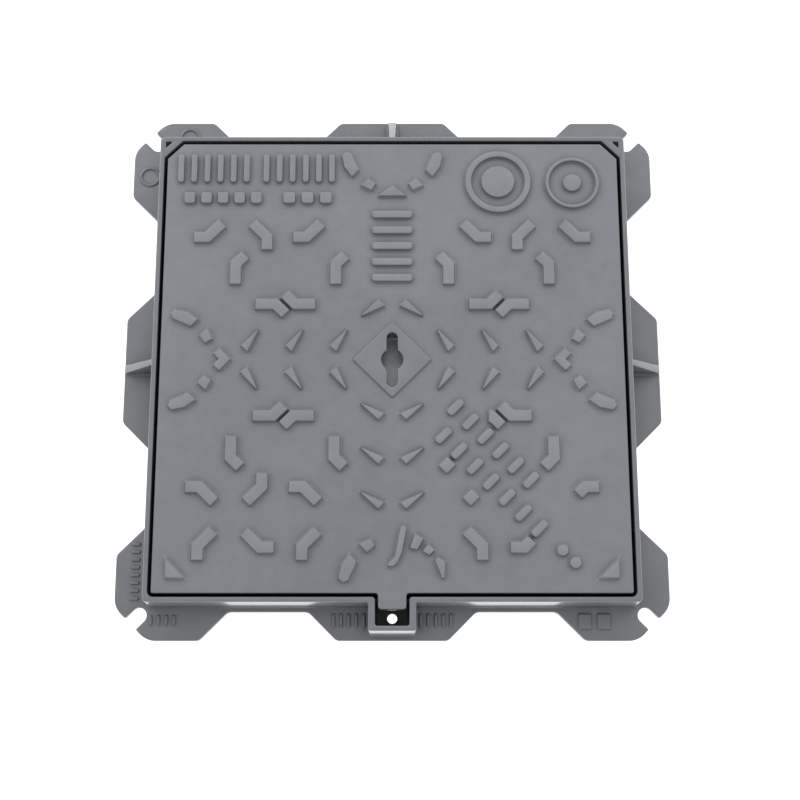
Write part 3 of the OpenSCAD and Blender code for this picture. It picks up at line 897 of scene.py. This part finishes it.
def make_cup():
    """A drawn cup turned about the vertical: its outside from the brim to the floor's rounded
    corner and the raised middle of the floor, and its inside from there up to the brim."""
    r, z0, z1 = CUP_R, CUP_Z0, CUP_Z1
    nose, pip, raise_by, bend = 0.3, 0.4, 0.6, 3.0
    inner, floor_z, inner_bend = r - CUP_T, z0 + CUP_T, 2.0
    q = np.linspace(0, math.pi / 2, 6)
    outside = [(r - nose, z1), (r, z1 - nose), (r, z0 + bend)]
    outside += [(r - bend * (1 - math.cos(a)), z0 + bend * (1 - math.sin(a))) for a in q[1:]]
    outside += [(20, z0), (18.5, z0 + raise_by), (pip, z0 + raise_by)]
    back = [(pip, floor_z), (18, floor_z), (20, floor_z), (inner - inner_bend, floor_z)]
    back += [(inner - inner_bend * (1 - math.sin(a)), floor_z + inner_bend * (1 - math.cos(a)))
             for a in q[1:]]
    back += [(inner, z1 - nose), (inner + nose, z1)]
    s = Surface()
    for profile in (outside[::-1], back[::-1], [(r - nose, z1), (inner + nose, z1)]):
        s.strips([(circle(0, 0, a, 72), z) for a, z in profile])
    s.cap(circle(0, 0, pip, 72), z0 + raise_by, up=False)
    s.cap(circle(0, 0, pip, 72), floor_z)
    cup = piece("key_cup_pressing", "lid_body", CUP_STEEL, s)
    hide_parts("key_cup")


make_lid()
make_frame()
make_seal()
make_cup()


# ---- the studio -----------------------------------------------------------------------

LENS, SENSOR, SHIFT_X = 63.603, 36.0, 0.00975
EYE = (0.0, -0.3417, 1.2838)               # metres
LOOK_DOWN = 76.22                          # degrees below the horizon
FLOOR_HALF, FLOOR_DROP = 60.0, 0.0004      # metres
SKY = ((0.0, 1.15), (0.03, 1.1), (0.12, 0.92), (0.6, 0.82), (0.9, 0.8))
SOFTBOX = 2.6                              # metres


def make_camera():
    """The camera above the front edge, looking down and to the rear."""
    scene = bpy.context.scene
    lens = bpy.data.cameras.new("camera")
    lens.lens, lens.sensor_width, lens.shift_x = LENS, SENSOR, SHIFT_X
    lens.clip_end = 50
    camera = bpy.data.objects.new("camera", lens)
    camera.location = EYE
    camera.rotation_euler = (math.radians(90 - LOOK_DOWN), 0, 0)
    scene.collection.objects.link(camera)
    scene.camera = camera


def make_floor():
    """A plain pale floor that glows, so that it stays white round the cover."""
    f = Finish("pale floor")
    pale = f.shade(colour=(0.36, 0.36, 0.365, 1), rough=0.9, glow=(1, 1, 1, 1), glow_level=1.2)
    h = FLOOR_HALF
    mesh = bpy.data.meshes.new("floor")
    mesh.from_pydata([(-h, -h, 0), (h, -h, 0), (h, h, 0), (-h, h, 0)], [], [(0, 1, 2, 3)])
    floor = bpy.data.objects.new("floor", mesh)
    floor.data.materials.append(pale)
    floor.location.z = -FLOOR_DROP
    bpy.context.scene.collection.objects.link(floor)


def make_sky():
    """Soft light from all round: brightest at the horizon, and dimmer towards the front, except
    in a narrow band along the horizon."""
    world = bpy.data.worlds.new("studio light")
    bpy.context.scene.world = world
    world.use_nodes = True
    sky = Nodes(world.node_tree)
    direction = sky.node("ShaderNodeTexCoord")[0]
    _, y, z = sky.node("ShaderNodeSeparateXYZ", {}, [direction])
    front = sky.map_range(y, -0.7, 0.5, 0.6, 1.12)
    background = sky.tree.nodes["Background"]
    sky.feed(background.inputs["Color"], sky.ramp(z, SKY))
    sky.feed(background.inputs["Strength"], sky.map_range(z, 0.03, 0.15, 1.0, front))


def make_softboxes():
    """Two soft boxes behind the cover, aimed at its middle."""
    for side, x, power in (("left", -3.1, 44), ("right", 3.1, 34)):
        lamp = bpy.data.lights.new(f"softbox rear {side}", "AREA")
        lamp.size, lamp.energy = SOFTBOX, power
        obj = bpy.data.objects.new(f"softbox rear {side}", lamp)
        obj.location = (x, 3.6, 3.2)
        obj.rotation_euler = (-Vector(obj.location)).to_track_quat("-Z", "Y").to_euler()
        bpy.context.scene.collection.objects.link(obj)


make_camera()
make_floor()
make_sky()
make_softboxes()
bpy.context.scene.view_settings.view_transform = "Standard"
bpy.context.scene.view_settings.look = "None"
